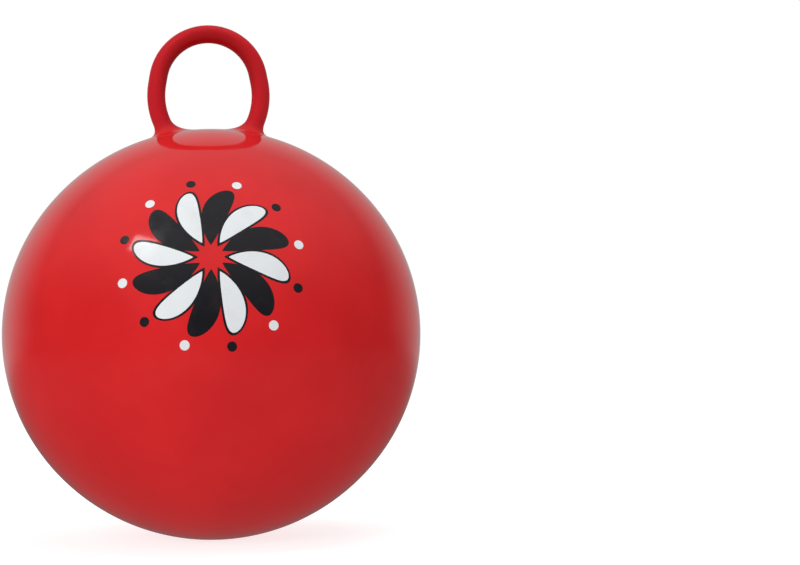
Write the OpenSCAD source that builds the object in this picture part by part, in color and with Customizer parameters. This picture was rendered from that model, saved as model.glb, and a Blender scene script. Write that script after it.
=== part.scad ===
// Hopper ball: an inflated vinyl ball with a ring handle on top and a stoppered valve behind it.
// Millimetres. The floor is z = 0, the ball stands on the z axis, and the front faces -y.

/* [Ball] */
// Width of the inflated ball across its middle
ball_w = 500; // [420:1:600]
// Height of the inflated ball, before its weight flattens the foot
ball_h = 492; // [420:1:600]
// Angle from the pole at which the cap curve passes into the side curve
cap_angle = 53; // [50:1:60]
// Thickness of the vinyl skin
skin_t = 1.2; // [0.8:0.1:2.4]
// Width of the flat patch that the ball rests on
foot_d = 64; // [50:1:90]

/* [Handle] */
// Width of the loop across its outside
handle_w = 145; // [130:1:160]
// Height of the loop above the top of the ball
handle_h = 124; // [117:1:135]
// Outside diameter of the handle tube
tube_d = 21.5; // [18:0.5:25]
// Wall of the handle tube
tube_t = 2.6; // [1.6:0.1:4]
// Straight run down each side, below the arch
side_run = 13; // [2:1:16]
// Radius of the inward curve of each leg, along the middle of the tube
leg_r = 84; // [72:1:100]

/* [Handle roots] */
// How far each root climbs its leg, on the outside of the loop
root_up = 12; // [8:0.5:16]
// How far it climbs its leg on the inside of the loop
root_up_in = 15; // [10:0.5:18]
// How far each root spreads over the skin, on the outside of the loop
root_out = 12; // [8:0.5:16]
// How far it spreads over the skin on the inside of the loop
root_in = 21; // [12:0.5:24]
// Thickness of the root at both of its edges
root_lip = 0.8; // [0.5:0.1:1.5]

/* [Valve seat] */
// Angle of the valve from the top of the ball, towards the back
valve_angle = 40; // [32:1:45]
// Bore that takes the stopper
bore_d = 6.4; // [5:0.1:8]
// Outside diameter of the sleeve round the bore
sleeve_d = 12; // [11:0.5:14]
// Length of the sleeve below the outside of the skin
sleeve_len = 16; // [10:1:22]
// Diameter of the flange on the outside of the skin
flange_d = 30; // [24:1:36]
// Rise of the outer flange at its middle
flange_rise = 2; // [1.8:0.1:3]
// Thickness of the outer flange at its rim
flange_rim = 0.6; // [0.4:0.1:1]
// Diameter of the flange on the inside of the skin
keeper_d = 24; // [19:1:30]
// Thickness of the inner flange
keeper_t = 1.6; // [1:0.1:2.5]

/* [Valve plug] */
// Diameter of the stopper's head
head_d = 15; // [12:0.5:17]
// Thickness of the stopper's head
head_t = 2.8; // [2:0.1:4]
// Depth to which the head sits in the seat
head_sink = 1.3; // [0.8:0.1:1.6]
// Length of the shank below the head
shank_len = 18; // [14:1:24]
// Length of the tapered tip of the shank
tip_len = 3.5; // [2:0.5:5]
// Number of sealing grooves round the shank
groove_count = 3; // [1:1:4]
// Length of each sealing groove, and of the land between two of them
groove_len = 1.8; // [1:0.1:2]
// Depth of each sealing groove
groove_depth = 0.45; // [0.2:0.05:0.8]

/* [Hidden] */
// Clearance of a close fit: the shank in its bore, the sleeve in the skin, a root on leg and skin
fit_gap = 0.05;
// Clearance between the stopper's head and the seat
seat_gap = 0.3;
// Chamfer at the mouth of the bore
bore_chamfer = 0.6;
// Radius and length of the groove in the head's edge that a fingernail lifts it by
notch_r = 0.5;
notch_len = 8;
// Depth to which each leg runs below the skin before the ball trims it
trim_depth = 4;

// The ball is a four-centre oval: two cap arcs and two side arcs, tangent where they meet
cap_lift = (ball_w - ball_h) / 2 / (1 + tan(cap_angle) - 1 / cos(cap_angle));
cap_r = ball_h / 2 + cap_lift;
side_x = cap_lift * tan(cap_angle);
side_r = ball_w / 2 - side_x;
foot_sag = cap_r - sqrt(cap_r ^ 2 - (foot_d / 2) ^ 2);
middle_z = ball_h / 2 - foot_sag;
top_z = ball_h - foot_sag;
cap_z = top_z - cap_r;

// The loop is an arch, a straight run on each side, and a leg that curves in to the skin
tube_r = tube_d / 2;
arch_r = handle_w / 2 - tube_r;
arch_z = top_z + handle_h - tube_r - arch_r;
side_z = arch_z - side_run;
leg_x = arch_r - leg_r;

// The skin's cap as the leg's circle of turn sees it, for the corner between tube and skin
cap_drop = side_z - cap_z;
cap_reach = norm([leg_x, cap_drop]);
cap_bearing = atan2(cap_drop, leg_x);
leg_sweep = corner_turn(180, tube_r, cap_r - trim_depth);

// The valve, on its own axis, with the outside of the skin at height 0
sleeve_r = sleeve_d / 2;
bore_r = bore_d / 2;
flange_r = flange_d / 2;
keeper_r = keeper_d / 2;
flange_edge = sqrt(cap_r ^ 2 - flange_r ^ 2) - cap_r + flange_rim;
flange_dome = flange_rise - flange_edge;
flange_curve = (flange_r ^ 2 + flange_dome ^ 2) / (2 * flange_dome);
recess_floor = flange_rise - head_sink;
recess_r = head_d / 2 + seat_gap;
head_r = head_d / 2;
head_z = recess_floor + fit_gap;
shank_r = bore_r - fit_gap;
head_round = head_t / 4;

// Smoothness of the big curves, of the flanges on the skin, of the tube and the valve, and of a root
ball_fn = 256;
skin_fn = 1024;
tube_fn = 96;
root_sides = 48;
root_steps = 8;
wall_steps = 4;

vinyl = "#d8101c";
satin_vinyl = "#c01018";
stopper_white = "#f2f2ee";

// Half of the ball's outline, drawn in from the outside of the skin by inset
module oval_half(inset) {
    far = 2 * ball_w;
    shoulder = far * [sin(cap_angle), cos(cap_angle)];
    for (side = [0, 1])
        translate([0, middle_z])
            mirror([0, side])
                translate([0, -cap_lift])
                    intersection() {
                        circle(r = cap_r - inset, $fn = ball_fn);
                        polygon([[0, 0], [0, far], shoulder]);
                    }
    translate([side_x, middle_z])
        intersection() {
            circle(r = side_r - inset, $fn = ball_fn);
            polygon([[0, 0], shoulder, [shoulder.x, -shoulder.y]]);
        }
}

// The same outline, cut off flat where the ball rests on the floor
module resting_oval(inset) {
    intersection() {
        oval_half(inset);
        translate([0, inset])
            square([ball_w, ball_h]);
    }
}

// The sphere that the top of the skin follows, which trims whatever stands on it
module cap_sphere() {
    translate([0, 0, cap_z])
        sphere(r = cap_r, $fn = ball_fn);
}

// Sets its children on the valve's axis, at the outside of the skin
module at_valve() {
    translate([0, 0, cap_z])
        rotate([-valve_angle, 0, 0])
            translate([0, 0, cap_r])
                children();
}

// Ball

module ball_skin() {
    color(vinyl)
        difference() {
            rotate_extrude($fn = ball_fn)
                difference() {
                    resting_oval(0);
                    resting_oval(skin_t);
                }
            at_valve()
                cylinder(r = sleeve_r + fit_gap, h = 2 * sleeve_len, center = true, $fn = tube_fn);
        }
}

// Handle

module tube_section() {
    difference() {
        circle(r = tube_r, $fn = tube_fn);
        circle(r = tube_r - tube_t, $fn = tube_fn);
    }
}

// The right leg's curve, swept from the end of the straight run to below the skin
module leg_curve() {
    translate([leg_x, 0, side_z])
        rotate([-90, 0, 0])
            rotate_extrude(angle = leg_sweep, $fn = ball_fn)
                translate([leg_r, 0])
                    children();
}

module handle_loop() {
    color(satin_vinyl)
        difference() {
            union() {
                translate([0, 0, arch_z])
                    rotate([90, 0, 0])
                        rotate_extrude(angle = 180, $fn = ball_fn)
                            translate([arch_r, 0])
                                tube_section();
                for (side = [0, 1])
                    mirror([side, 0, 0]) {
                        translate([arch_r, 0, side_z])
                            linear_extrude(side_run)
                                tube_section();
                        leg_curve()
                            tube_section();
                    }
            }
            cap_sphere();
        }
}

// Handle roots: each is a ring lofted round its leg, between the tube and the sphere of the skin.
// A section of the ring is a blend that leaves the tube and meets the skin without a kink.

// A point on a tube of radius r round the right leg: turn goes along the leg, spin round it
function leg_point(turn, spin, r) =
    let (out = leg_r + r * cos(spin))
    [leg_x + out * cos(turn), r * sin(spin), side_z - out * sin(turn)];

// The turn at which that tube's line at spin meets a sphere of radius skin_r round the cap's centre
function corner_turn(spin, r, skin_r) =
    let (
        out = leg_r + r * cos(spin),
        rest = skin_r ^ 2 - cap_reach ^ 2 - out ^ 2 - (r * sin(spin)) ^ 2
    )
    acos(rest / (2 * out * cap_reach)) - cap_bearing;

function unit(v) = v / norm(v);

// The point at radius skin_r from the cap's centre, in the direction of p
function on_skin(p, skin_r) =
    let (centre = [0, 0, cap_z])
    centre + skin_r * unit(p - centre);

// How far a root reaches at spin, between its reach outside the loop and that inside it
function root_reach(spin, outside, inside) =
    outside + (inside - outside) * (1 - cos(spin)) / 2;

// The line up the leg from its corner with the skin, at a distance off the tube and off the skin
function leg_line(spin, off) =
    let (
        r = tube_r + off,
        turn = corner_turn(spin, r, cap_r + off),
        reach = root_reach(spin, root_up, root_up_in),
        rise = reach / (leg_r + r * cos(spin)) * 180 / PI
    )
    [for (i = [0 : wall_steps]) leg_point(turn - rise * i / wall_steps, spin, r)];

// The line out over the skin from the same corner
function skin_line(spin, off) =
    let (
        r = tube_r + off,
        turn = corner_turn(spin, r, cap_r + off),
        corner = leg_point(turn, spin, r),
        outwards = unit(corner - leg_point(turn, 0, 0)),
        normal = unit(corner - [0, 0, cap_z]),
        along = unit(outwards - (outwards * normal) * normal),
        reach = root_reach(spin, root_out, root_in)
    )
    [for (i = [0 : wall_steps]) on_skin(corner + reach * i / wall_steps * along, cap_r + off)];

// One section: down the blend to the skin, back along the skin, and up the leg
function root_section(spin) =
    let (
        leg_edge = leg_line(spin, root_lip)[wall_steps],
        skin_edge = skin_line(spin, root_lip)[wall_steps],
        corner = skin_line(spin, root_lip)[0],
        under = skin_line(spin, fit_gap),
        inner = leg_line(spin, fit_gap)
    )
    concat(
        [for (i = [0 : root_steps])
            let (t = i / root_steps)
            (1 - t) ^ 2 * leg_edge + 2 * t * (1 - t) * corner + t ^ 2 * skin_edge],
        [for (i = [wall_steps : -1 : 0]) under[i]],
        [for (i = [1 : wall_steps]) inner[i]]
    );

module handle_root() {
    sections = [for (j = [0 : root_sides - 1]) root_section(360 * j / root_sides)];
    count = len(sections[0]);
    function index(j, i) = (j % root_sides) * count + i % count;
    polyhedron(
        [for (section = sections) each section],
        [for (j = [0 : root_sides - 1], i = [0 : count - 1]) each [
            [index(j, i), index(j + 1, i), index(j + 1, i + 1)],
            [index(j, i), index(j + 1, i + 1), index(j, i + 1)]
        ]]
    );
}

module handle_root_right() {
    color(vinyl)
        handle_root();
}

module handle_root_left() {
    color(vinyl)
        mirror([1, 0, 0])
            handle_root();
}

// Valve: profiles are drawn from the axis outwards and turned round it

module valve_seat() {
    color(vinyl)
        at_valve()
            rotate_extrude($fn = tube_fn)
                difference() {
                    union() {
                        outer_flange();
                        inner_flange();
                        translate([0, -sleeve_len])
                            square([sleeve_r, sleeve_len]);
                    }
                    translate([0, -2 * sleeve_len])
                        square([bore_r, 4 * sleeve_len]);
                    translate([0, recess_floor])
                        square([recess_r, flange_rise]);
                    bore_mouth(recess_floor, -1);
                    bore_mouth(-sleeve_len, 1);
                }
}

// Domed on top and laid on the outside of the skin below
module outer_flange() {
    intersection() {
        translate([0, flange_rise - flange_curve])
            circle(r = flange_curve, $fn = ball_fn);
        difference() {
            translate([0, flange_edge - flange_rise])
                square([flange_r, 2 * flange_rise]);
            translate([0, -cap_r])
                circle(r = cap_r, $fn = skin_fn);
        }
    }
}

// Follows the inside of the skin
module inner_flange() {
    intersection() {
        translate([0, -cap_r])
            difference() {
                circle(r = cap_r - skin_t, $fn = skin_fn);
                circle(r = cap_r - skin_t - keeper_t, $fn = skin_fn);
            }
        translate([0, -sleeve_len])
            square([keeper_r, sleeve_len]);
    }
}

// Chamfer at one end of the bore, opening upwards or downwards
module bore_mouth(height, into) {
    translate([0, height])
        polygon([
            [0, 0], [bore_r + bore_chamfer, 0], [bore_r, into * bore_chamfer], [0, into * bore_chamfer]
        ]);
}

module valve_plug() {
    color(stopper_white)
        at_valve()
            difference() {
                union() {
                    rotate_extrude($fn = tube_fn)
                        head_profile();
                    rotate_extrude($fn = tube_fn)
                        shank_profile();
                }
                translate([0, -head_r, head_z + head_sink + notch_r])
                    rotate([0, 90, 0])
                        cylinder(r = notch_r, h = notch_len, center = true, $fn = tube_fn);
            }
}

// A flat disc with a rounded upper edge
module head_profile() {
    translate([0, head_z]) {
        square([head_r, head_t - head_round]);
        square([head_r - head_round, head_t]);
        translate([head_r - head_round, head_t - head_round])
            circle(r = head_round, $fn = tube_fn);
    }
}

// A shank with sealing grooves and a tapered tip
module shank_profile() {
    tip_z = head_z - shank_len;
    difference() {
        polygon([
            [0, head_z + head_t / 2], [shank_r, head_z + head_t / 2], [shank_r, tip_z + tip_len],
            [shank_r / 2, tip_z], [0, tip_z]
        ]);
        for (i = [0 : groove_count - 1])
            translate([shank_r - groove_depth, tip_z + tip_len + groove_len * (2 * i + 1)])
                square(groove_len);
    }
}

ball_skin();
handle_loop();
handle_root_left();
handle_root_right();
valve_seat();
valve_plug();
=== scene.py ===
"""Looks of a hopper ball: a glossy inflated vinyl ball, a satin loop handle and a stoppered valve.

All sizes are in metres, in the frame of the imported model: the floor is z = 0, the ball stands on the
z axis, the loop lies across the x axis and the printed front faces -y.
"""

import logging
import math
from collections.abc import Callable, Iterator, Sequence
from contextlib import contextmanager
from dataclasses import dataclass
from enum import Enum

import bmesh
import bpy
from bpy.types import Material, Node, NodeOutputs, NodeSocket, NodeTree, Object, World
from mathutils import Matrix, Quaternion, Vector
from mathutils.geometry import interpolate_bezier


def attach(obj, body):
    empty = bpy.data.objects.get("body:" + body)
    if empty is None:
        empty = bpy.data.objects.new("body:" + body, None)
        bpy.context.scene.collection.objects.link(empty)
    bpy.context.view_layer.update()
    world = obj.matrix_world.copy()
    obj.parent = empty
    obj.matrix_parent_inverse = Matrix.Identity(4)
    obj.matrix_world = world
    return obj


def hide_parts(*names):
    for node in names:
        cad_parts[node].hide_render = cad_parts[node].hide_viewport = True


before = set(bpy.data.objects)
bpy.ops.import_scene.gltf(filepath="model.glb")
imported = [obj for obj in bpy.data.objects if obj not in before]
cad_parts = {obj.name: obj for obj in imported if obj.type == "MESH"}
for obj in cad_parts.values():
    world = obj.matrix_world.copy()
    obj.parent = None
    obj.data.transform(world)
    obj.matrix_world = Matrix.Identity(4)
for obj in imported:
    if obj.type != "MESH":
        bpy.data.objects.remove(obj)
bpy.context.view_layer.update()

log = logging.getLogger("hopper_ball")

Colour = tuple[float, float, float]
Triple = tuple[float, float, float]
Span = tuple[float, float]
Flat = tuple[float, float]
FULL_TURN = 2 * math.pi
# Edges sharper than this stay crisp
SHARP_EDGE = math.radians(40)
# Vertices this near to a plane of symmetry lie in it
NEAR = 1e-5
# Vertices this near to each other become one
MERGE = 1e-6
# Share of the way to a corner that the handles of a curve round it reach
HANDLE_SHARE = 2 / 3


class Body(Enum):
    """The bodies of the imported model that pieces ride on."""

    BALL = "ball"
    PLUG = "plug"


class Slot(Enum):
    """The record's material slots."""

    BALL_VINYL = "ball_vinyl"
    HANDLE_VINYL = "handle_vinyl"
    STOPPER = "stopper"


class Side(Enum):
    """The two ends of the loop, as the sign of x."""

    LEFT = -1
    RIGHT = 1


# Modelling helpers


def primitive(name: str, add: Callable[..., object], **settings: object) -> Object:
    """Adds a primitive as a new piece and puts its place and turn into its mesh.

    Args:
        name: The piece's name.
        add: Blender's operator for the primitive.
        settings: The operator's own settings by name.

    Returns:
        The new piece, which sits at the origin.
    """
    bpy.ops.object.select_all(action="DESELECT")
    add(**settings)
    piece = bpy.context.active_object
    piece.name = name
    piece.data.name = name
    bpy.ops.object.transform_apply(location=True, rotation=True, scale=True)
    return piece


def only(piece: Object) -> None:
    """Makes a piece the one selected and active object.

    Args:
        piece: The piece to select.
    """
    bpy.ops.object.select_all(action="DESELECT")
    piece.select_set(True)
    bpy.context.view_layer.objects.active = piece


@contextmanager
def editing(piece: Object) -> Iterator[None]:
    """Opens a piece in edit mode with all of it selected, and goes back to object mode at the end.

    Args:
        piece: The mesh to edit.
    """
    only(piece)
    bpy.ops.object.mode_set(mode="EDIT")
    bpy.ops.mesh.select_mode(type="VERT")
    bpy.ops.mesh.select_all(action="SELECT")
    yield
    bpy.ops.object.mode_set(mode="OBJECT")


def reshape(piece: Object, shape: Callable[[Vector], Vector]) -> None:
    """Moves each vertex of a piece to where a shape puts it.

    Args:
        piece: The mesh to reshape, in object mode.
        shape: Gives the new place of the vertex at a point.
    """
    for vert in piece.data.vertices:
        vert.co = shape(vert.co)
    piece.data.update()


def finish_modifier(piece: Object, kind: str, **settings: object) -> None:
    """Adds a modifier to a piece and applies it.

    Args:
        piece: The mesh to change.
        kind: Blender's type of modifier.
        settings: The modifier's own settings by name.
    """
    only(piece)
    modifier = piece.modifiers.new(kind.title(), kind)
    for name, value in settings.items():
        setattr(modifier, name, value)
    bpy.ops.object.modifier_apply(modifier=modifier.name)


def close_mesh(piece: Object) -> None:
    """Merges the doubles of a mesh and turns its faces outwards.

    Args:
        piece: The mesh to clean.
    """
    with editing(piece):
        bpy.ops.mesh.remove_doubles(threshold=MERGE)
        bpy.ops.mesh.delete_loose()
        bpy.ops.mesh.select_all(action="SELECT")
        bpy.ops.mesh.normals_make_consistent(inside=False)


def raise_parting_line(piece: Object, width: float, rise: float) -> None:
    """Raises the fine line where the two halves of the mould met, in the plane y = 0.

    Args:
        piece: The mesh, with edges in that plane and its faces outwards.
        width: The width of the line.
        rise: How far it stands off the surface.
    """
    with editing(piece):
        bpy.ops.mesh.select_all(action="DESELECT")
        mesh = bmesh.from_edit_mesh(piece.data)
        for vert in mesh.verts:
            vert.select_set(abs(vert.co.y) < NEAR)
        mesh.select_flush(True)
        bmesh.update_edit_mesh(piece.data)
        bpy.ops.mesh.bevel(offset=width / 2, segments=2, affect="EDGES")
        mesh = bmesh.from_edit_mesh(piece.data)
        mesh.normal_update()
        for vert in mesh.verts:
            if abs(vert.co.y) < NEAR:
                vert.co += rise * vert.normal
        bmesh.update_edit_mesh(piece.data)


def cut_bar(piece: Object, width: float, length: float, sides: int, place: Matrix) -> None:
    """Cuts the form of a round bar out of a piece.

    Args:
        piece: The closed mesh to cut.
        width: The bar's width.
        length: The bar's length.
        sides: The number of faces round the bar.
        place: Carries an upright bar at the origin to its place.
    """
    add = bpy.ops.mesh.primitive_cylinder_add
    cutter = primitive("cutter", add, vertices=sides, radius=width / 2, depth=length)
    cutter.data.transform(place)
    finish_modifier(piece, "BOOLEAN", operation="DIFFERENCE", object=cutter, solver="EXACT")
    bpy.data.objects.remove(cutter)


def joined(name: str, pieces: Sequence[Object]) -> Object:
    """Joins several meshes into one piece.

    Args:
        name: The name of the joined piece.
        pieces: The meshes to join.

    Returns:
        The joined piece.
    """
    only(pieces[0])
    for piece in pieces:
        piece.select_set(True)
    bpy.ops.object.join()
    pieces[0].name = name
    pieces[0].data.name = name
    return pieces[0]


def lofted(name: str, rings: Sequence[Sequence[Vector]]) -> Object:
    """Lofts a closed tube of closed rings by extruding one ring after another.

    Args:
        name: The piece's name.
        rings: The rings in order, each with as many points. The last is bridged to the first.

    Returns:
        The lofted piece.
    """
    piece = primitive(name, bpy.ops.mesh.primitive_circle_add, vertices=len(rings[0]))
    for vert, point in zip(piece.data.vertices, rings[0]):
        vert.co = point
    with editing(piece):
        for ring in rings[1:]:
            bpy.ops.mesh.extrude_region_move()
            mesh = bmesh.from_edit_mesh(piece.data)
            for vert, point in zip([v for v in mesh.verts if v.select], ring):
                vert.co = point
            bmesh.update_edit_mesh(piece.data)
        mesh = bmesh.from_edit_mesh(piece.data)
        for edge in mesh.edges:
            edge.select_set(edge.is_boundary)
        bpy.ops.mesh.bridge_edge_loops()
    close_mesh(piece)
    return piece


def turned(name: str, profile: Sequence[Flat], place: Matrix, steps: int = 96) -> Object:
    """Turns a closed profile round an axis, as on a lathe.

    Args:
        name: The piece's name.
        profile: Points of the profile as (radius, height), without the closing one.
        place: Carries the upright axis at the origin to its place.
        steps: The number of faces round the axis.

    Returns:
        The turned piece.
    """
    piece = primitive(name, bpy.ops.mesh.primitive_circle_add, vertices=len(profile))
    for vert, (radius, height) in zip(piece.data.vertices, profile):
        vert.co = (radius, 0, height)
    with editing(piece):
        bpy.ops.mesh.spin(steps=steps, angle=FULL_TURN, center=(0, 0, 0), axis=(0, 0, 1))
    close_mesh(piece)
    piece.data.transform(place)
    return piece


def dress(piece: Object, material: Material) -> None:
    """Gives a piece one material all over."""
    piece.data.materials.clear()
    piece.data.materials.append(material)


def finish_piece(piece: Object, finish: Material, body: Body, slot: Slot | None, *nodes: str) -> None:
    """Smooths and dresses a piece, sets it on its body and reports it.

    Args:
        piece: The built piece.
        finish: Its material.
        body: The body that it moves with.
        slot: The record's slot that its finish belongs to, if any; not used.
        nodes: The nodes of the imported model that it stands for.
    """
    only(piece)
    bpy.ops.object.shade_smooth_by_angle(angle=SHARP_EDGE)
    dress(piece, finish)
    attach(piece, body.value)
    if nodes:
        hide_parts(*nodes)
    faces = len(piece.data.polygons)
    log.info("%s: %d faces on %s, stands for %s", piece.name, faces, body.value, nodes or "nothing")


# Form of the skin


@dataclass(frozen=True)
class Oval:
    """The inflated skin's form: a four-centre oval turned round the z axis, flattened at the foot.

    It has two cap arcs and two side arcs, tangent where they meet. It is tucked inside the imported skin
    by a little more than the rise of the parting line, so that the line stays inside as well.
    """

    width: float = 0.500
    height: float = 0.492
    cap_angle: float = math.radians(53)
    foot_width: float = 0.064
    tuck: float = 0.0004

    @property
    def cap_lift(self) -> float:
        """How far the centre of a cap arc lies beyond the middle of the ball."""
        spread = 1 + math.tan(self.cap_angle) - 1 / math.cos(self.cap_angle)
        return (self.width - self.height) / 2 / spread

    @property
    def full_cap_radius(self) -> float:
        """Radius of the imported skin's cap arcs."""
        return self.height / 2 + self.cap_lift

    @property
    def cap_radius(self) -> float:
        """Radius of the cap arcs."""
        return self.full_cap_radius - self.tuck

    @property
    def side_offset(self) -> float:
        """Distance of the centre of a side arc from the axis."""
        return self.cap_lift * math.tan(self.cap_angle)

    @property
    def side_radius(self) -> float:
        """Radius of the side arcs."""
        return self.width / 2 - self.side_offset - self.tuck

    @property
    def middle(self) -> Vector:
        """Middle of the ball."""
        radius = self.full_cap_radius
        foot_sag = radius - math.sqrt(radius**2 - (self.foot_width / 2) ** 2)
        return Vector((0, 0, self.height / 2 - foot_sag))

    @property
    def cap_centre(self) -> Vector:
        """Centre of the sphere that the top of the skin follows."""
        return self.middle - Vector((0, 0, self.cap_lift))

    @property
    def full_top(self) -> float:
        """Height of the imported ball's top above the floor."""
        return self.middle.z + self.height / 2

    def point(self, direction: Vector, rise: float = 0.0) -> Vector:
        """Finds the point of the skin that lies in a direction from the middle of the ball.

        Args:
            direction: The direction, of any length.
            rise: How far the point stands off the skin.

        Returns:
            The point.
        """
        aim = direction.normalized()
        across, up = math.hypot(aim.x, aim.y), abs(aim.z)
        radius = self.cap_radius + rise
        reach = math.sqrt(radius**2 - (self.cap_lift * across) ** 2) - self.cap_lift * up
        if math.atan2(reach * across, reach * up + self.cap_lift) > self.cap_angle:
            radius = self.side_radius + rise
            reach = self.side_offset * across + math.sqrt(radius**2 - (self.side_offset * up) ** 2)
        return self.middle + reach * aim


# Finishes


class NodeSheet:
    """A node tree and the ways in which nodes are added to it."""

    def __init__(self, tree: NodeTree) -> None:
        """Takes up a tree."""
        self.tree = tree

    def node(self, kind: str, inputs: dict[str | int, object], **settings: object) -> Node:
        """Adds a node and fills its inputs.

        Args:
            kind: Blender's type of node.
            inputs: A constant, or the socket to link, for each input by name or number.
            settings: The node's own settings by name.

        Returns:
            The new node.
        """
        node = self.tree.nodes.new(kind)
        for name, value in settings.items():
            setattr(node, name, value)
        for name, value in inputs.items():
            self.feed(node.inputs[name], value)
        return node

    def feed(self, socket: NodeSocket, value: object) -> None:
        """Links a socket to another one, or sets its constant.

        Args:
            socket: The input to fill.
            value: The socket to link to it, or its constant.
        """
        if isinstance(value, NodeSocket):
            self.tree.links.new(value, socket)
        else:
            socket.default_value = value

    def ranged(self, value: object, start: Span, end: Span) -> NodeSocket:
        """Carries a value smoothly from one range to another and stops it at the ends.

        Args:
            value: The value's socket.
            start: The two values that the range goes between.
            end: What they become.

        Returns:
            The result's socket.
        """
        inputs = {"Value": value}
        inputs |= dict(zip(("From Min", "From Max", "To Min", "To Max"), (*start, *end)))
        return self.node("ShaderNodeMapRange", inputs, interpolation_type="SMOOTHSTEP").outputs["Result"]

    def sum(self, kind: str, first: object, second: object) -> NodeSocket:
        """Works out a sum that Blender knows, such as ADD, on two constants or sockets."""
        return self.node("ShaderNodeMath", {0: first, 1: second}, operation=kind).outputs["Value"]

    def parts(self, vector: NodeSocket) -> NodeOutputs:
        """The sockets X, Y and Z of a vector."""
        return self.node("ShaderNodeSeparateXYZ", {"Vector": vector}).outputs

    def mixed(self, share: object, first: object, second: object) -> NodeSocket:
        """Mixes two colours.

        Args:
            share: The share of the second colour.
            first: A colour, or the socket that gives it.
            second: A colour, or the socket that gives it.

        Returns:
            The mixed colour's socket.
        """
        node = self.node("ShaderNodeMix", {"Factor": share}, data_type="RGBA")
        colours = [socket for socket in node.inputs if socket.type == "RGBA"]
        for socket, colour in zip(colours, (first, second)):
            self.feed(socket, (*colour, 1) if isinstance(colour, tuple) else colour)
        return next(socket for socket in node.outputs if socket.type == "RGBA")

    def added(self, first: Node, second: Node) -> NodeSocket:
        """Adds up two shaders, and gives the socket of their sum."""
        inputs = {0: first.outputs[0], 1: second.outputs[0]}
        return self.node("ShaderNodeAddShader", inputs).outputs["Shader"]


class ShaderSheet(NodeSheet):
    """A new material and the nodes that feed its shader."""

    def __init__(self, name: str) -> None:
        """Starts a material with a bare principled shader.

        Args:
            name: The material's name.
        """
        self.material = bpy.data.materials.new(name)
        self.material.use_nodes = True
        super().__init__(self.material.node_tree)
        self.shader = self.tree.nodes["Principled BSDF"]
        self.place = self.tree.nodes.new("ShaderNodeTexCoord").outputs["Object"]

    def noise(self, size: float, detail: float = 2.0, stretch: Triple = (1, 1, 1)) -> NodeSocket:
        """Adds a noise pattern on the piece's own coordinates.

        Args:
            size: The size of its largest marks.
            detail: How many finer layers it has.
            stretch: How much finer the marks are along each axis.

        Returns:
            The pattern's value, from 0 to 1.
        """
        placed = self.node("ShaderNodeMapping", {"Vector": self.place, "Scale": stretch})
        inputs = {"Vector": placed.outputs["Vector"], "Scale": 1 / size, "Detail": detail}
        return self.node("ShaderNodeTexNoise", inputs).outputs["Fac"]

    def bumped(self, height: object, depth: float, under: object = None) -> NodeSocket:
        """Turns a height into relief.

        Args:
            height: The height's socket, from 0 to 1.
            depth: The real depth of the relief.
            under: The normal of coarser relief below it, if any.

        Returns:
            The normal's socket.
        """
        inputs = {"Height": height, "Distance": depth, "Strength": 1.0}
        if under is not None:
            inputs["Normal"] = under
        return self.node("ShaderNodeBump", inputs).outputs["Normal"]

    def set(self, **inputs: object) -> Material:
        """Fills the shader's own inputs, with underscores for the spaces in their names.

        Args:
            inputs: A constant, a colour or a socket for each input.

        Returns:
            The finished material.
        """
        for name, value in inputs.items():
            colour = isinstance(value, tuple)
            self.feed(self.shader.inputs[name.replace("_", " ")], (*value, 1) if colour else value)
        return self.material


@dataclass(frozen=True)
class GlossVinyl:
    """The ball's polished vinyl, with faint clouds of pigment, handling smears and hairline scuffs."""

    colour: Colour = (0.72, 0.0185, 0.0210)
    cloud: Colour = (0.65, 0.0150, 0.0175)
    cloud_size: float = 0.11
    cloud_span: Span = (0.3, 0.7)
    polish: float = 0.065
    smear: float = 0.07
    smear_size: float = 0.06
    smear_span: Span = (0.45, 0.75)
    scuff: float = 0.16
    scuff_size: float = 0.012
    scuff_span: Span = (0.66, 0.74)
    scuff_stretch: Triple = (1, 1, 14)
    wave_size: float = 0.07
    wave_depth: float = 0.00025
    peel_size: float = 0.0035
    peel_depth: float = 0.000006

    def tint(self, sheet: ShaderSheet) -> NodeSocket:
        """Adds the clouded colour to a sheet, and gives its socket."""
        clouds = sheet.ranged(sheet.noise(self.cloud_size, detail=3), self.cloud_span, (0, 1))
        return sheet.mixed(clouds, self.colour, self.cloud)

    def material(self) -> Material:
        """Builds the material.

        Returns:
            The finished material.
        """
        sheet = ShaderSheet("ball_gloss_vinyl")
        gloss = (self.polish, self.polish + self.smear)
        smears = sheet.ranged(sheet.noise(self.smear_size, detail=5), self.smear_span, gloss)
        hairlines = sheet.noise(self.scuff_size, detail=4, stretch=self.scuff_stretch)
        scuffs = sheet.ranged(hairlines, self.scuff_span, (0, self.scuff))
        waves = sheet.bumped(sheet.noise(self.wave_size, detail=1), self.wave_depth)
        return sheet.set(
            Base_Color=self.tint(sheet),
            Roughness=sheet.sum("ADD", smears, scuffs),
            Normal=sheet.bumped(sheet.noise(self.peel_size, detail=1), self.peel_depth, waves),
        )


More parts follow.
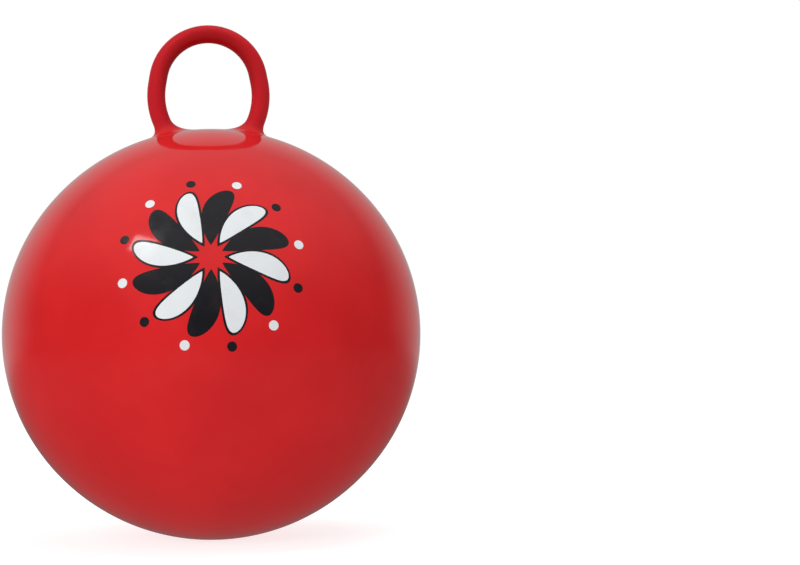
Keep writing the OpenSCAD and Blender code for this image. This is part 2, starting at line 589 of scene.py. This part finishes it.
@dataclass(frozen=True)
class SatinVinyl:
    """The loop's grained satin vinyl: its own colour outside the crown's bend, painted shade inside it, and
    worn where it is held.
    """

    colour: Colour = (0.58, 0.0078, 0.0165)
    # Painted shade: the darker colour inside the crown's bend, where the loop's underside is in shade; also
    # the tone of the random clouds
    cloud_and_bend_shade: Colour = (0.36, 0.0008, 0.0028)
    bend_shade_height: float = 0.5540
    bend_shade_span: Span = (0.044, 0.063)
    cloud: float = 0.16
    cloud_size: float = 0.045
    cloud_span: Span = (0.3, 0.7)
    satin: float = 0.52
    worn: float = 0.45
    worn_heights: Span = (0.545, 0.600)
    patch: Span = (-0.03, 0.05)
    patch_size: float = 0.02
    patch_span: Span = (0.4, 0.7)
    sheen: float = 0.22
    grain_size: float = 0.0011
    grain_depth: float = 0.00005

    def tint(self, sheet: ShaderSheet) -> NodeSocket:
        """Adds the colour to a sheet: random darker clouds, and painted shade that follows the inside of
        the loop's bend.

        Args:
            sheet: The sheet to add the nodes to.

        Returns:
            The colour's socket.
        """
        clouds = sheet.ranged(sheet.noise(self.cloud_size, detail=4), self.cloud_span, (0, self.cloud))
        parts = sheet.parts(sheet.place)
        # Painted shade: darker towards the inside of the crown's bend, by distance from a point near the
        # arch's centre
        lift = sheet.sum("SUBTRACT", parts["Z"], self.bend_shade_height)
        squares = sheet.sum("ADD", sheet.sum("POWER", parts["X"], 2.0), sheet.sum("POWER", lift, 2.0))
        reach = sheet.sum("SQRT", squares, 0.0)
        outside = sheet.ranged(reach, self.bend_shade_span, (0, 1))
        return sheet.mixed(clouds, sheet.mixed(outside, self.cloud_and_bend_shade, self.colour), self.cloud_and_bend_shade)

    def material(self) -> Material:
        """Builds the material.

        Returns:
            The finished material.
        """
        sheet = ShaderSheet("handle_satin_vinyl")
        height = sheet.parts(sheet.place)["Z"]
        hold = sheet.ranged(height, self.worn_heights, (self.satin, self.worn))
        patches = sheet.ranged(sheet.noise(self.patch_size, detail=4), self.patch_span, self.patch)
        return sheet.set(
            Base_Color=self.tint(sheet),
            Roughness=sheet.sum("ADD", hold, patches),
            Specular_IOR_Level=self.sheen,
            Normal=sheet.bumped(sheet.noise(self.grain_size), self.grain_depth),
        )


@dataclass(frozen=True)
class RootVinyl:
    """The roots' vinyl, which passes from the loop's satin to the ball's polish."""

    oval: Oval
    handle: SatinVinyl
    ball: GlossVinyl
    colour_rise: Span = (0.001, 0.012)
    gloss_rise: Span = (0.0003, 0.0040)
    sheen: float = 0.27

    def material(self) -> Material:
        """Builds the material.

        Returns:
            The finished material.
        """
        sheet = ShaderSheet("root_vinyl")
        ends = {0: sheet.place, 1: tuple(self.oval.cap_centre)}
        reach = sheet.node("ShaderNodeVectorMath", ends, operation="DISTANCE").outputs["Value"]
        rise = sheet.sum("SUBTRACT", reach, self.oval.cap_radius)
        share = sheet.ranged(rise, self.colour_rise, (0, 1))
        grain = sheet.sum("MULTIPLY", sheet.noise(self.handle.grain_size), share)
        return sheet.set(
            Base_Color=sheet.mixed(share, self.ball.tint(sheet), self.handle.tint(sheet)),
            Roughness=sheet.ranged(rise, self.gloss_rise, (self.ball.polish, self.handle.satin)),
            Specular_IOR_Level=self.sheen,
            Normal=sheet.bumped(grain, self.handle.grain_depth),
        )


@dataclass(frozen=True)
class PrintInk:
    """Screen-printed ink on the skin, in a slightly uneven and rippled film."""

    name: str
    colour: Colour
    thin: Colour
    polish: float = 0.16
    dull: float = 0.30
    film_size: float = 0.018
    thin_span: Span = (0.5, 0.8)
    dull_span: Span = (0.35, 0.7)
    ripple_size: float = 0.003
    ripple_depth: float = 0.00002

    def material(self) -> Material:
        """Builds the material.

        Returns:
            The finished material.
        """
        sheet = ShaderSheet(self.name)
        film = sheet.noise(self.film_size, detail=5)
        thin = sheet.ranged(film, self.thin_span, (0, 1))
        return sheet.set(
            Base_Color=sheet.mixed(thin, self.colour, self.thin),
            Roughness=sheet.ranged(film, self.dull_span, (self.polish, self.dull)),
            Normal=sheet.bumped(sheet.noise(self.ripple_size, detail=1), self.ripple_depth),
        )


@dataclass(frozen=True)
class StopperPlastic:
    """The stopper's white plastic, slightly yellowed in patches, with a fine moulded grain."""

    colour: Colour = (0.80, 0.80, 0.77)
    aged: Colour = (0.70, 0.69, 0.63)
    patch_size: float = 0.006
    aged_span: Span = (0.4, 0.7)
    satin: float = 0.34
    dull: float = 0.48
    dull_span: Span = (0.3, 0.7)
    grain_size: float = 0.0006
    grain_depth: float = 0.00002
    scatter: float = 0.08

    def material(self) -> Material:
        """Builds the material.

        Returns:
            The finished material.
        """
        sheet = ShaderSheet("stopper_plastic")
        patches = sheet.noise(self.patch_size, detail=4)
        aged = sheet.ranged(patches, self.aged_span, (0, 1))
        return sheet.set(
            Base_Color=sheet.mixed(aged, self.colour, self.aged),
            Roughness=sheet.ranged(patches, self.dull_span, (self.satin, self.dull)),
            Normal=sheet.bumped(sheet.noise(self.grain_size), self.grain_depth),
            Subsurface_Weight=self.scatter,
        )


# Pieces


@dataclass
class Ball:
    """The inflated skin, with its parting line and the pocket that the valve seat sits in."""

    oval: Oval
    finish: Material
    valve_place: Matrix
    cuts: int = 95
    parting_width: float = 0.0011
    parting_rise: float = 0.0003
    pocket_width: float = 0.0122
    pocket_depth: float = 0.021
    pocket_sides: int = 64

    def build(self) -> None:
        """Builds the skin from a cube that is subdivided and blown up to the oval."""
        skin = primitive("skin", bpy.ops.mesh.primitive_cube_add, size=2)
        with editing(skin):
            bpy.ops.mesh.subdivide(number_cuts=self.cuts)
        reshape(skin, self.blown_up)
        raise_parting_line(skin, self.parting_width, self.parting_rise)
        reshape(skin, lambda point: Vector((point.x, point.y, max(point.z, 0))))
        cut_bar(skin, self.pocket_width, 2 * self.pocket_depth, self.pocket_sides, self.valve_place)
        finish_piece(skin, self.finish, Body.BALL, Slot.BALL_VINYL, "ball_skin")

    def blown_up(self, point: Vector) -> Vector:
        """The place on the oval of a point of the cube, with the faces spread evenly."""
        spread = Vector([math.tan(part * math.pi / 4) for part in point])
        return self.oval.point(spread)


@dataclass
class LoopHandle:
    """The loop: a tube that arches over, leans out a little and curves in again onto two flared roots."""

    oval: Oval
    finish: Material
    root_finish: Material
    rise: float = 0.1239
    tube_width: float = 0.0216
    crown_bend: float = 0.0602
    side_lean: float = math.radians(10.5)
    side_run: float = 0.010
    leg_bend: float = 0.080
    leg_end: float = math.radians(41)
    tube_sides: int = 64
    arch_steps: int = 40
    leg_steps: int = 28
    parting_width: float = 0.0009
    parting_rise: float = 0.0002
    root_up: float = 0.0155
    root_up_inside: float = 0.018
    root_out: float = 0.014
    root_in: float = 0.0235
    root_fill: float = 0.002
    root_sink: float = 0.00002
    root_depth: float = 0.0012
    root_steps: int = 14

    @property
    def tube_radius(self) -> float:
        """Radius of the tube beside its parting line."""
        return self.tube_width / 2 - self.parting_rise

    @property
    def arch_centre(self) -> Vector:
        """Centre of the arch."""
        return Vector((0, 0, self.oval.full_top + self.rise - self.tube_width / 2 - self.crown_bend))

    @property
    def side_step(self) -> Vector:
        """The straight run of the right side, from the arch down to the leg."""
        return self.side_run * Vector((math.sin(self.side_lean), 0, -math.cos(self.side_lean)))

    @property
    def leg_centre(self) -> Vector:
        """Centre of the right leg's curve, which is inside the loop on the line from the side's end."""
        outwards = Vector((math.cos(self.side_lean), 0, math.sin(self.side_lean)))
        return self.arch_centre + (self.crown_bend - self.leg_bend) * outwards + self.side_step

    def build(self) -> None:
        """Builds the tube and its two roots."""
        self.build_tube()
        for side in Side:
            self.build_root(side)

    def build_tube(self) -> None:
        """Sweeps the right half of the tube from the crown down into the ball, and mirrors it."""
        crown = self.arch_centre + Vector((0, 0, self.crown_bend))
        arch_turn, leg_turn = math.pi / 2 - self.side_lean, self.side_lean + self.leg_end
        tube = primitive(
            "loop",
            bpy.ops.mesh.primitive_circle_add,
            vertices=self.tube_sides,
            radius=self.tube_radius,
            location=crown,
            rotation=(0, math.pi / 2, 0),
        )
        front = (0, -1, 0)
        with editing(tube):
            bpy.ops.mesh.spin(steps=self.arch_steps, angle=arch_turn, center=self.arch_centre, axis=front)
            bpy.ops.mesh.extrude_region_move(TRANSFORM_OT_translate={"value": self.side_step})
            bpy.ops.mesh.spin(steps=self.leg_steps, angle=leg_turn, center=self.leg_centre, axis=front)
            bpy.ops.mesh.edge_face_add()
        finish_modifier(tube, "MIRROR", use_axis=(True, False, False), merge_threshold=NEAR)
        close_mesh(tube)
        raise_parting_line(tube, self.parting_width, self.parting_rise)
        finish_piece(tube, self.finish, Body.BALL, Slot.HANDLE_VINYL, "handle_loop")

    def leg_point(self, turn: float, spin: float, radius: float) -> Vector:
        """Finds a point on a tube round the right leg.

        Args:
            turn: The angle along the leg's curve, from the level of its centre down.
            spin: The angle round the tube, from its outer side.
            radius: The radius of the tube.

        Returns:
            The point.
        """
        out = self.leg_bend + radius * math.cos(spin)
        away = Vector((out * math.cos(turn), radius * math.sin(spin), -out * math.sin(turn)))
        return self.leg_centre + away

    def corner_turn(self, spin: float, radius: float) -> float:
        """Finds where a line along the right leg meets the skin's cap.

        Args:
            spin: The line's angle round the tube.
            radius: The radius of the tube that the line lies on.

        Returns:
            The angle along the leg's curve.
        """
        away = self.leg_centre - self.oval.cap_centre
        reach = math.hypot(away.x, away.z)
        out = self.leg_bend + radius * math.cos(spin)
        rest = self.oval.cap_radius**2 - reach**2 - out**2 - (radius * math.sin(spin)) ** 2
        return math.acos(rest / (2 * out * reach)) - math.atan2(away.z, away.x)

    def on_cap(self, point: Vector, rise: float) -> Vector:
        """The point on the skin's cap below or above a point, stood off by a rise."""
        centre = self.oval.cap_centre
        return centre + (self.oval.cap_radius + rise) * (point - centre).normalized()

    def root_section(self, spin: float) -> list[Vector]:
        """Draws one section of a root: a blend from tube to skin, and back inside both of them.

        Args:
            spin: The section's angle round the leg.

        Returns:
            The section's points in order.
        """
        radius = self.tube_radius - self.root_sink
        turn = self.corner_turn(spin, radius)
        corner = self.leg_point(turn, spin, radius)
        middle = self.leg_point(turn, 0, 0)
        normal = (corner - self.oval.cap_centre).normalized()
        outwards = corner - middle
        along = (outwards - outwards.dot(normal) * normal).normalized()
        inside = ((1 - math.cos(spin)) / 2) ** 2
        climb = self.root_up + (self.root_up_inside - self.root_up) * inside
        reach = self.root_out + (self.root_in - self.root_out) * inside
        bend_radius = self.leg_bend + radius * math.cos(spin)
        top_turn = turn - climb / bend_radius
        leg_edge = self.leg_point(top_turn, spin, radius)
        bend = self.leg_point(turn - self.root_fill * inside / bend_radius, spin, radius)
        rim = self.on_cap(corner + reach * along, 0)
        down = Vector((-math.sin(top_turn), 0, -math.cos(top_turn)))
        leg_handle = leg_edge + HANDLE_SHARE * (bend - leg_edge).length * down
        rim_handle = rim + HANDLE_SHARE * (bend - rim)
        blend = interpolate_bezier(leg_edge, leg_handle, rim_handle, rim, self.root_steps + 1)
        below = [self.on_cap(rim, -self.root_depth), self.on_cap(corner, -self.root_depth)]
        return [*blend, *below, self.leg_point(top_turn, spin, radius - self.root_depth)]

    def build_root(self, side: Side) -> None:
        """Lofts a root round its leg.

        Args:
            side: The end of the loop that it stands at.
        """
        spins = [FULL_TURN * step / self.tube_sides for step in range(self.tube_sides)]
        sections = [self.root_section(spin) for spin in spins]
        rings = [[Vector((side.value * p.x, p.y, p.z)) for p in ring] for ring in zip(*sections)]
        root = lofted(f"root_{side.name.lower()}", rings)
        raise_parting_line(root, self.parting_width, self.parting_rise)
        finish_piece(root, self.root_finish, Body.BALL, Slot.BALL_VINYL, f"handle_{root.name}")


@dataclass
class Valve:
    """The valve on the back: a moulded seat with a bore, and the stopper that closes it."""

    oval: Oval
    seat_finish: Material
    stopper_finish: Material
    angle: float = math.radians(40)
    bore_width: float = 0.0064
    sleeve_width: float = 0.012
    sleeve_length: float = 0.016
    flange_width: float = 0.030
    flange_rise: float = 0.002
    flange_rim: float = 0.0006
    flange_depth: float = 0.0012
    head_width: float = 0.015
    head_depth: float = 0.0028
    head_sink: float = 0.0013
    head_round: float = 0.0007
    notch_width: float = 0.0010
    notch_length: float = 0.008
    notch_sides: int = 32
    seat_gap: float = 0.0003
    fit_gap: float = 0.00005
    shank_length: float = 0.018
    tip_length: float = 0.0035
    groove_count: int = 3
    groove_length: float = 0.0018
    groove_depth: float = 0.00045
    chamfer: float = 0.0006
    edge_round: float = 0.00025
    edge_steps: int = 3
    dome_steps: int = 10

    @property
    def place(self) -> Matrix:
        """Carries the upright axis to the valve's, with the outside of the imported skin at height 0."""
        out = Matrix.Translation((0, 0, self.oval.full_cap_radius))
        return Matrix.Translation(self.oval.cap_centre) @ Matrix.Rotation(-self.angle, 4, "X") @ out

    @property
    def recess_floor(self) -> float:
        """Height of the floor that the stopper's head rests on."""
        return self.flange_rise - self.head_sink

    def build(self) -> None:
        """Builds the seat and the stopper."""
        self.build_seat()
        self.build_stopper()

    def round_edges(self, piece: Object) -> None:
        """Rounds the sharp edges of a turned piece."""
        settings = {"width": self.edge_round, "segments": self.edge_steps, "limit_method": "ANGLE"}
        finish_modifier(piece, "BEVEL", **settings)

    def build_seat(self) -> None:
        """Turns the seat: a domed flange with a recess for the head, and a sleeve below it."""
        bore, sleeve, flange = self.bore_width / 2, self.sleeve_width / 2, self.flange_width / 2
        recess = self.head_width / 2 + self.seat_gap
        skin = self.oval.full_cap_radius
        rim = math.sqrt(skin**2 - flange**2) - skin + self.flange_rim
        steps = [step / self.dome_steps for step in range(self.dome_steps + 1)]
        width, drop = flange - recess, self.flange_rise - rim
        dome = [(recess + width * t, self.flange_rise - drop * t**2) for t in steps]
        profile = [
            (bore, -self.sleeve_length),
            (bore, self.recess_floor - self.chamfer),
            (bore + self.chamfer, self.recess_floor),
            (recess, self.recess_floor),
            *dome,
            (flange, rim - self.flange_rim - self.flange_depth),
            (sleeve, -self.flange_depth),
            (sleeve, -self.sleeve_length),
        ]
        piece = turned("valve_seat_ring", profile, self.place)
        self.round_edges(piece)
        finish_piece(piece, self.seat_finish, Body.BALL, Slot.BALL_VINYL, "valve_seat")

    def build_stopper(self) -> None:
        """Turns the stopper: a notched head with a rounded edge, and a grooved shank with a tapered tip."""
        head, shank = self.head_width / 2, self.bore_width / 2 - self.fit_gap
        low = self.recess_floor + self.fit_gap
        tip = low - self.shank_length
        grooves: list[Flat] = []
        for groove in range(self.groove_count):
            start = tip + self.tip_length + self.groove_length * (2 * groove + 1)
            grooves += [
                (shank, start),
                (shank - self.groove_depth, start),
                (shank - self.groove_depth, start + self.groove_length),
                (shank, start + self.groove_length),
            ]
        inner, shoulder = head - self.head_round, low + self.head_depth - self.head_round
        turns = [math.pi / 2 * step / self.dome_steps for step in range(self.dome_steps + 1)]
        bend = self.head_round
        edge = [(inner + bend * math.cos(t), shoulder + bend * math.sin(t)) for t in turns]
        profile = [
            (0, tip),
            (shank / 2, tip),
            (shank, tip + self.tip_length),
            *grooves,
            (shank, low),
            (head, low),
            *edge,
            (0, low + self.head_depth),
        ]
        piece = turned("stopper", profile, self.place)
        edge_of_head = Matrix.Translation((0, -head, low + self.head_sink + self.notch_width / 2))
        notch = self.place @ edge_of_head @ Matrix.Rotation(math.pi / 2, 4, "Y")
        cut_bar(piece, self.notch_width, self.notch_length, self.notch_sides, notch)
        self.round_edges(piece)
        finish_piece(piece, self.stopper_finish, Body.PLUG, Slot.STOPPER, "valve_plug")


@dataclass
class FrontPrint:
    """The print on the front: a pinwheel of black and white petals in a ring of dots."""

    oval: Oval
    black: Material
    white: Material
    lift: float = math.radians(22)
    petals: int = 12
    petal_from: float = 0.014
    petal_to: float = 0.090
    petal_width: float = 0.030
    petal_taper: float = 0.9
    petal_swell: float = 2.49
    keyline: float = 0.0026
    whirl: float = math.radians(14)
    dot_ring: float = 0.101
    dot_width: float = 0.011
    film: float = 0.00010
    grid: tuple[int, int] = (28, 10)

    def build(self) -> None:
        """Prints the motifs, one colour after the other."""
        black: list[Object] = []
        white: list[Object] = []
        for number in range(self.petals):
            turn = FULL_TURN * number / self.petals
            is_black = number % 2 == 0
            black.append(self.petal(turn, 0, self.film))
            if not is_black:
                white.append(self.petal(turn, self.keyline, 2 * self.film))
            (white if is_black else black).append(self.dot(turn))
        for name, motifs, ink in (("print_black", black, self.black), ("print_white", white, self.white)):
            finish_piece(joined(name, motifs), ink, Body.BALL, None)

    def rolled_on(self, right: float, up: float, rise: float) -> Vector:
        """Finds where a point of the flat print lies once it is rolled onto the skin.

        Args:
            right: Distance to the right of the print's middle.
            up: Distance above the print's middle.
            rise: How far the point stands off the skin.

        Returns:
            The point on the ball.
        """
        axis = Vector((0, -math.cos(self.lift), math.sin(self.lift)))
        north = Vector((0, math.sin(self.lift), math.cos(self.lift)))
        sideways = right * Vector((1, 0, 0)) + up * north
        angle = sideways.length / self.oval.side_radius
        return self.oval.point(math.cos(angle) * axis + math.sin(angle) * sideways.normalized(), rise)

    def film_patch(self, flat: Callable[[float, float], Flat], rise: float) -> Object:
        """Prints one motif: a grid drawn to an outline, rolled onto the skin and given its film's depth.

        Args:
            flat: Gives the place in the flat print of a grid point, whose two parts go from -1 to 1.
            rise: How far the outside of the film stands off the skin.

        Returns:
            The motif.
        """
        along, across = self.grid
        add = bpy.ops.mesh.primitive_grid_add
        patch = primitive("motif", add, x_subdivisions=along, y_subdivisions=across, size=2)
        reshape(patch, lambda point: self.rolled_on(*flat(point.x, point.y), rise))
        close_mesh(patch)
        finish_modifier(patch, "SOLIDIFY", thickness=rise + self.film, offset=-1)
        return patch

    def petal(self, turn: float, inset: float, rise: float) -> Object:
        """Prints a petal, which starts in a point, swells and ends round.

        Args:
            turn: Its angle round the print's middle.
            inset: How far it is drawn in all round.
            rise: How far its film stands off the skin.

        Returns:
            The petal.
        """
        start, end = self.petal_from + 2 * inset, self.petal_to - inset
        half = self.petal_swell * (self.petal_width / 2 - inset)

        def flat(along: float, across: float) -> Flat:
            """Finds the place in the flat print of a point of the grid.

            Args:
                along: The point's place along the petal, from -1 to 1.
                across: The point's place across the petal, from -1 to 1.

            Returns:
                Its distances to the right of the print's middle and above it.
            """
            share = (1 - math.cos(math.pi * (along + 1) / 2)) / 2
            reach = start + (end - start) * share
            aside = half * share**self.petal_taper * math.sqrt(max(1 - share, 0)) * across
            angle = turn + self.whirl * (reach / self.petal_to) ** 2
            right, up = math.sin(angle), math.cos(angle)
            return reach * right + aside * up, reach * up - aside * right

        return self.film_patch(flat, rise)

    def dot(self, turn: float) -> Object:
        """Prints a dot beyond the end of a petal.

        Args:
            turn: The petal's angle.

        Returns:
            The dot.
        """
        angle = turn + self.whirl * (self.dot_ring / self.petal_to) ** 2
        radius = self.dot_width / 2

        def flat(along: float, across: float) -> Flat:
            """Finds the place in the flat print of a point of the grid, whose square is drawn to a disc.

            Args:
                along: The point's first part, from -1 to 1.
                across: The point's second part, from -1 to 1.

            Returns:
                Its distances to the right of the print's middle and above it.
            """
            right = along * math.sqrt(1 - across**2 / 2) * radius
            up = across * math.sqrt(1 - along**2 / 2) * radius
            return self.dot_ring * math.sin(angle) + right, self.dot_ring * math.cos(angle) + up

        return self.film_patch(flat, self.film)


# Stage


@dataclass(frozen=True)
class PhotoView:
    """The camera, set so that the ball stands in the frame where the photograph has it."""

    image_width: float = 800.0
    image_height: float = 565.0
    ball_x: float = 212.3
    ball_y: float = 333.8
    ball_half_width: float = 208.6
    distance: float = 3.2
    height: float = 0.345
    roll: float = math.radians(-0.85)
    sensor: float = 36.0

    def build(self, oval: Oval) -> None:
        """Sets up the camera.

        Args:
            oval: The form of the ball that is framed.
        """
        eye = Vector((0, -self.distance, self.height))
        to_ball = oval.middle - eye
        focus = self.ball_half_width / math.tan(math.asin(oval.width / 2 / to_ball.length))
        pixel = to_ball.length / focus
        off_axis = Vector((self.image_width / 2 - self.ball_x, self.ball_y - self.image_height / 2))
        off_axis.rotate(Matrix.Rotation(self.roll, 2))
        aim = oval.middle + pixel * Vector((off_axis.x, 0, off_axis.y))
        turn = (aim - eye).to_track_quat("-Z", "Y") @ Quaternion((0, 0, 1), self.roll)
        bpy.ops.object.camera_add(location=eye, rotation=turn.to_euler())
        camera = bpy.context.active_object
        camera.data.sensor_width = self.sensor
        camera.data.lens = focus * self.sensor / self.image_width
        bpy.context.scene.camera = camera


@dataclass(frozen=True)
class Lamp:
    """A flat lamp that shines at the ball."""

    place: Triple
    size: tuple[float, float]
    power: float
    mirrored: bool = False

    def build(self, target: Vector) -> None:
        """Hangs the lamp.

        Args:
            target: The point that it shines at.
        """
        place = Vector(self.place)
        turn = (target - place).to_track_quat("-Z", "Y").to_euler()
        bpy.ops.object.light_add(type="AREA", location=place, rotation=turn)
        lamp = bpy.context.active_object
        lamp.data.shape = "RECTANGLE"
        lamp.data.size, lamp.data.size_y = self.size
        lamp.data.energy = self.power
        lamp.visible_glossy = self.mirrored


@dataclass(frozen=True)
class Studio:
    """A white floor and sweep in a dim room, with two broad lamps and a small window."""

    floor_width: float = 40.0
    floor_white: float = 0.12
    floor_bounce: float = 0.61
    floor_shadow: float = 0.45
    floor_glow: float = 0.78
    floor_mirrored: float = 0.145
    floor_reach: Span = (0.5, 3.0)
    room: float = 0.06
    sweep: float = 0.365
    sweep_span: Span = (0.15, 0.9)
    rim: float = 0.41
    rim_span: Span = (0.3, 0.85)
    left_bias: float = 0.13
    ambient: float = 0.51
    lamps: tuple[Lamp, ...] = (
        Lamp(place=(-2.27, -3.63, 1.60), size=(2.4, 2.0), power=68.0),
        Lamp(place=(0.60, 0.0, 4.20), size=(3.0, 3.0), power=56.0),
        Lamp(place=(-2.36, -1.92, 3.55), size=(0.95, 0.60), power=11.0, mirrored=True),
    )

    def build(self, target: Vector) -> None:
        """Builds the floor, the surroundings and the lamps.

        Args:
            target: The point that the lamps shine at.
        """
        scene = bpy.context.scene
        scene.view_settings.view_transform = "Standard"
        self.build_floor()
        scene.world = self.build_surroundings()
        for lamp in self.lamps:
            lamp.build(target)

    def glow(self, sheet: NodeSheet, aim: NodeSocket) -> NodeSocket:
        """Works out how bright the surroundings look in a direction, as reflections see them.

        Args:
            sheet: The tree to add the nodes to.
            aim: The direction, of length 1.

        Returns:
            The brightness.
        """
        parts = sheet.parts(aim)
        behind = sheet.ranged(parts["Y"], self.rim_span, (0, self.rim))
        above = sheet.ranged(parts["Z"], self.sweep_span, (0, self.sweep))
        left = sheet.ranged(parts["X"], (-1.0, 1.0), (1 + self.left_bias, 1 - self.left_bias))
        sweep = sheet.sum("MULTIPLY", sheet.sum("MAXIMUM", behind, above), left)
        return sheet.sum("ADD", sweep, self.room)

    def build_floor(self) -> None:
        """Lays the floor, which is white to the camera where nothing shades it and dim to reflections."""
        floor = primitive("floor", bpy.ops.mesh.primitive_plane_add, size=self.floor_width)
        sheet = ShaderSheet("floor_white")
        path = sheet.node("ShaderNodeLightPath", {}).outputs
        aim = sheet.node("ShaderNodeVectorMath", {0: sheet.place}, operation="NORMALIZE")
        reach = sheet.node("ShaderNodeVectorMath", {0: sheet.place}, operation="LENGTH")
        distance = sheet.ranged(reach.outputs["Value"], self.floor_reach, (0, 1))
        beyond = sheet.sum("SUBTRACT", self.glow(sheet, aim.outputs["Vector"]), self.floor_mirrored)
        mirrored = sheet.sum("ADD", sheet.sum("MULTIPLY", distance, beyond), self.floor_mirrored)
        glossy = path["Is Glossy Ray"]
        step = sheet.sum("MULTIPLY", glossy, sheet.sum("SUBTRACT", mirrored, self.floor_bounce))
        bounce = sheet.node("ShaderNodeEmission", {"Strength": sheet.sum("ADD", step, self.floor_bounce)})
        white = sheet.sum("MULTIPLY", sheet.sum("SUBTRACT", 1.0, glossy), self.floor_white)
        unseen = sheet.added(bounce, sheet.node("ShaderNodeBsdfDiffuse", {"Color": white}))
        shadow = (self.floor_shadow,) * 3 + (1,)
        shaded = sheet.node("ShaderNodeBsdfDiffuse", {"Color": shadow})
        seen = sheet.added(sheet.node("ShaderNodeEmission", {"Strength": self.floor_glow}), shaded)
        either = sheet.node("ShaderNodeMixShader", {"Fac": path["Is Camera Ray"], 1: unseen, 2: seen})
        sheet.feed(sheet.tree.nodes["Material Output"].inputs["Surface"], either.outputs["Shader"])
        dress(floor, sheet.material)

    def build_surroundings(self) -> World:
        """Builds the world: white to the camera, a studio to reflections and soft light to the rest.

        Returns:
            The world.
        """
        world = bpy.data.worlds.new("studio")
        world.use_nodes = True
        sheet = NodeSheet(world.node_tree)
        path = sheet.node("ShaderNodeLightPath", {}).outputs
        studio = self.glow(sheet, sheet.node("ShaderNodeTexCoord", {}).outputs["Generated"])
        mirrored = sheet.sum("MAXIMUM", path["Is Glossy Ray"], path["Is Transmission Ray"])
        reflected = sheet.sum("MULTIPLY", mirrored, sheet.sum("SUBTRACT", studio, self.ambient))
        unseen = sheet.sum("ADD", reflected, self.ambient)
        white = sheet.sum("MULTIPLY", path["Is Camera Ray"], sheet.sum("SUBTRACT", 1.0, unseen))
        background = sheet.tree.nodes["Background"].inputs
        sheet.feed(background["Color"], (1, 1, 1, 1))
        sheet.feed(background["Strength"], sheet.sum("ADD", white, unseen))
        return world


def main() -> None:
    """Builds the object in order, and the stage round it."""
    logging.basicConfig(level=logging.INFO, format="%(name)s: %(message)s")
    oval = Oval()
    PhotoView().build(oval)
    Studio().build(oval.middle)
    gloss, satin = GlossVinyl(), SatinVinyl()
    skin_finish = gloss.material()
    valve = Valve(oval, skin_finish, StopperPlastic().material())
    Ball(oval, skin_finish, valve.place).build()
    LoopHandle(oval, satin.material(), RootVinyl(oval, satin, gloss).material()).build()
    valve.build()
    black = PrintInk("ink_black", colour=(0.010, 0.010, 0.013), thin=(0.020, 0.012, 0.014))
    white = PrintInk("ink_white", colour=(0.80, 0.83, 0.85), thin=(0.74, 0.75, 0.76))
    FrontPrint(oval, black.material(), white.material()).build()


if __name__ == "__main__":
    main()
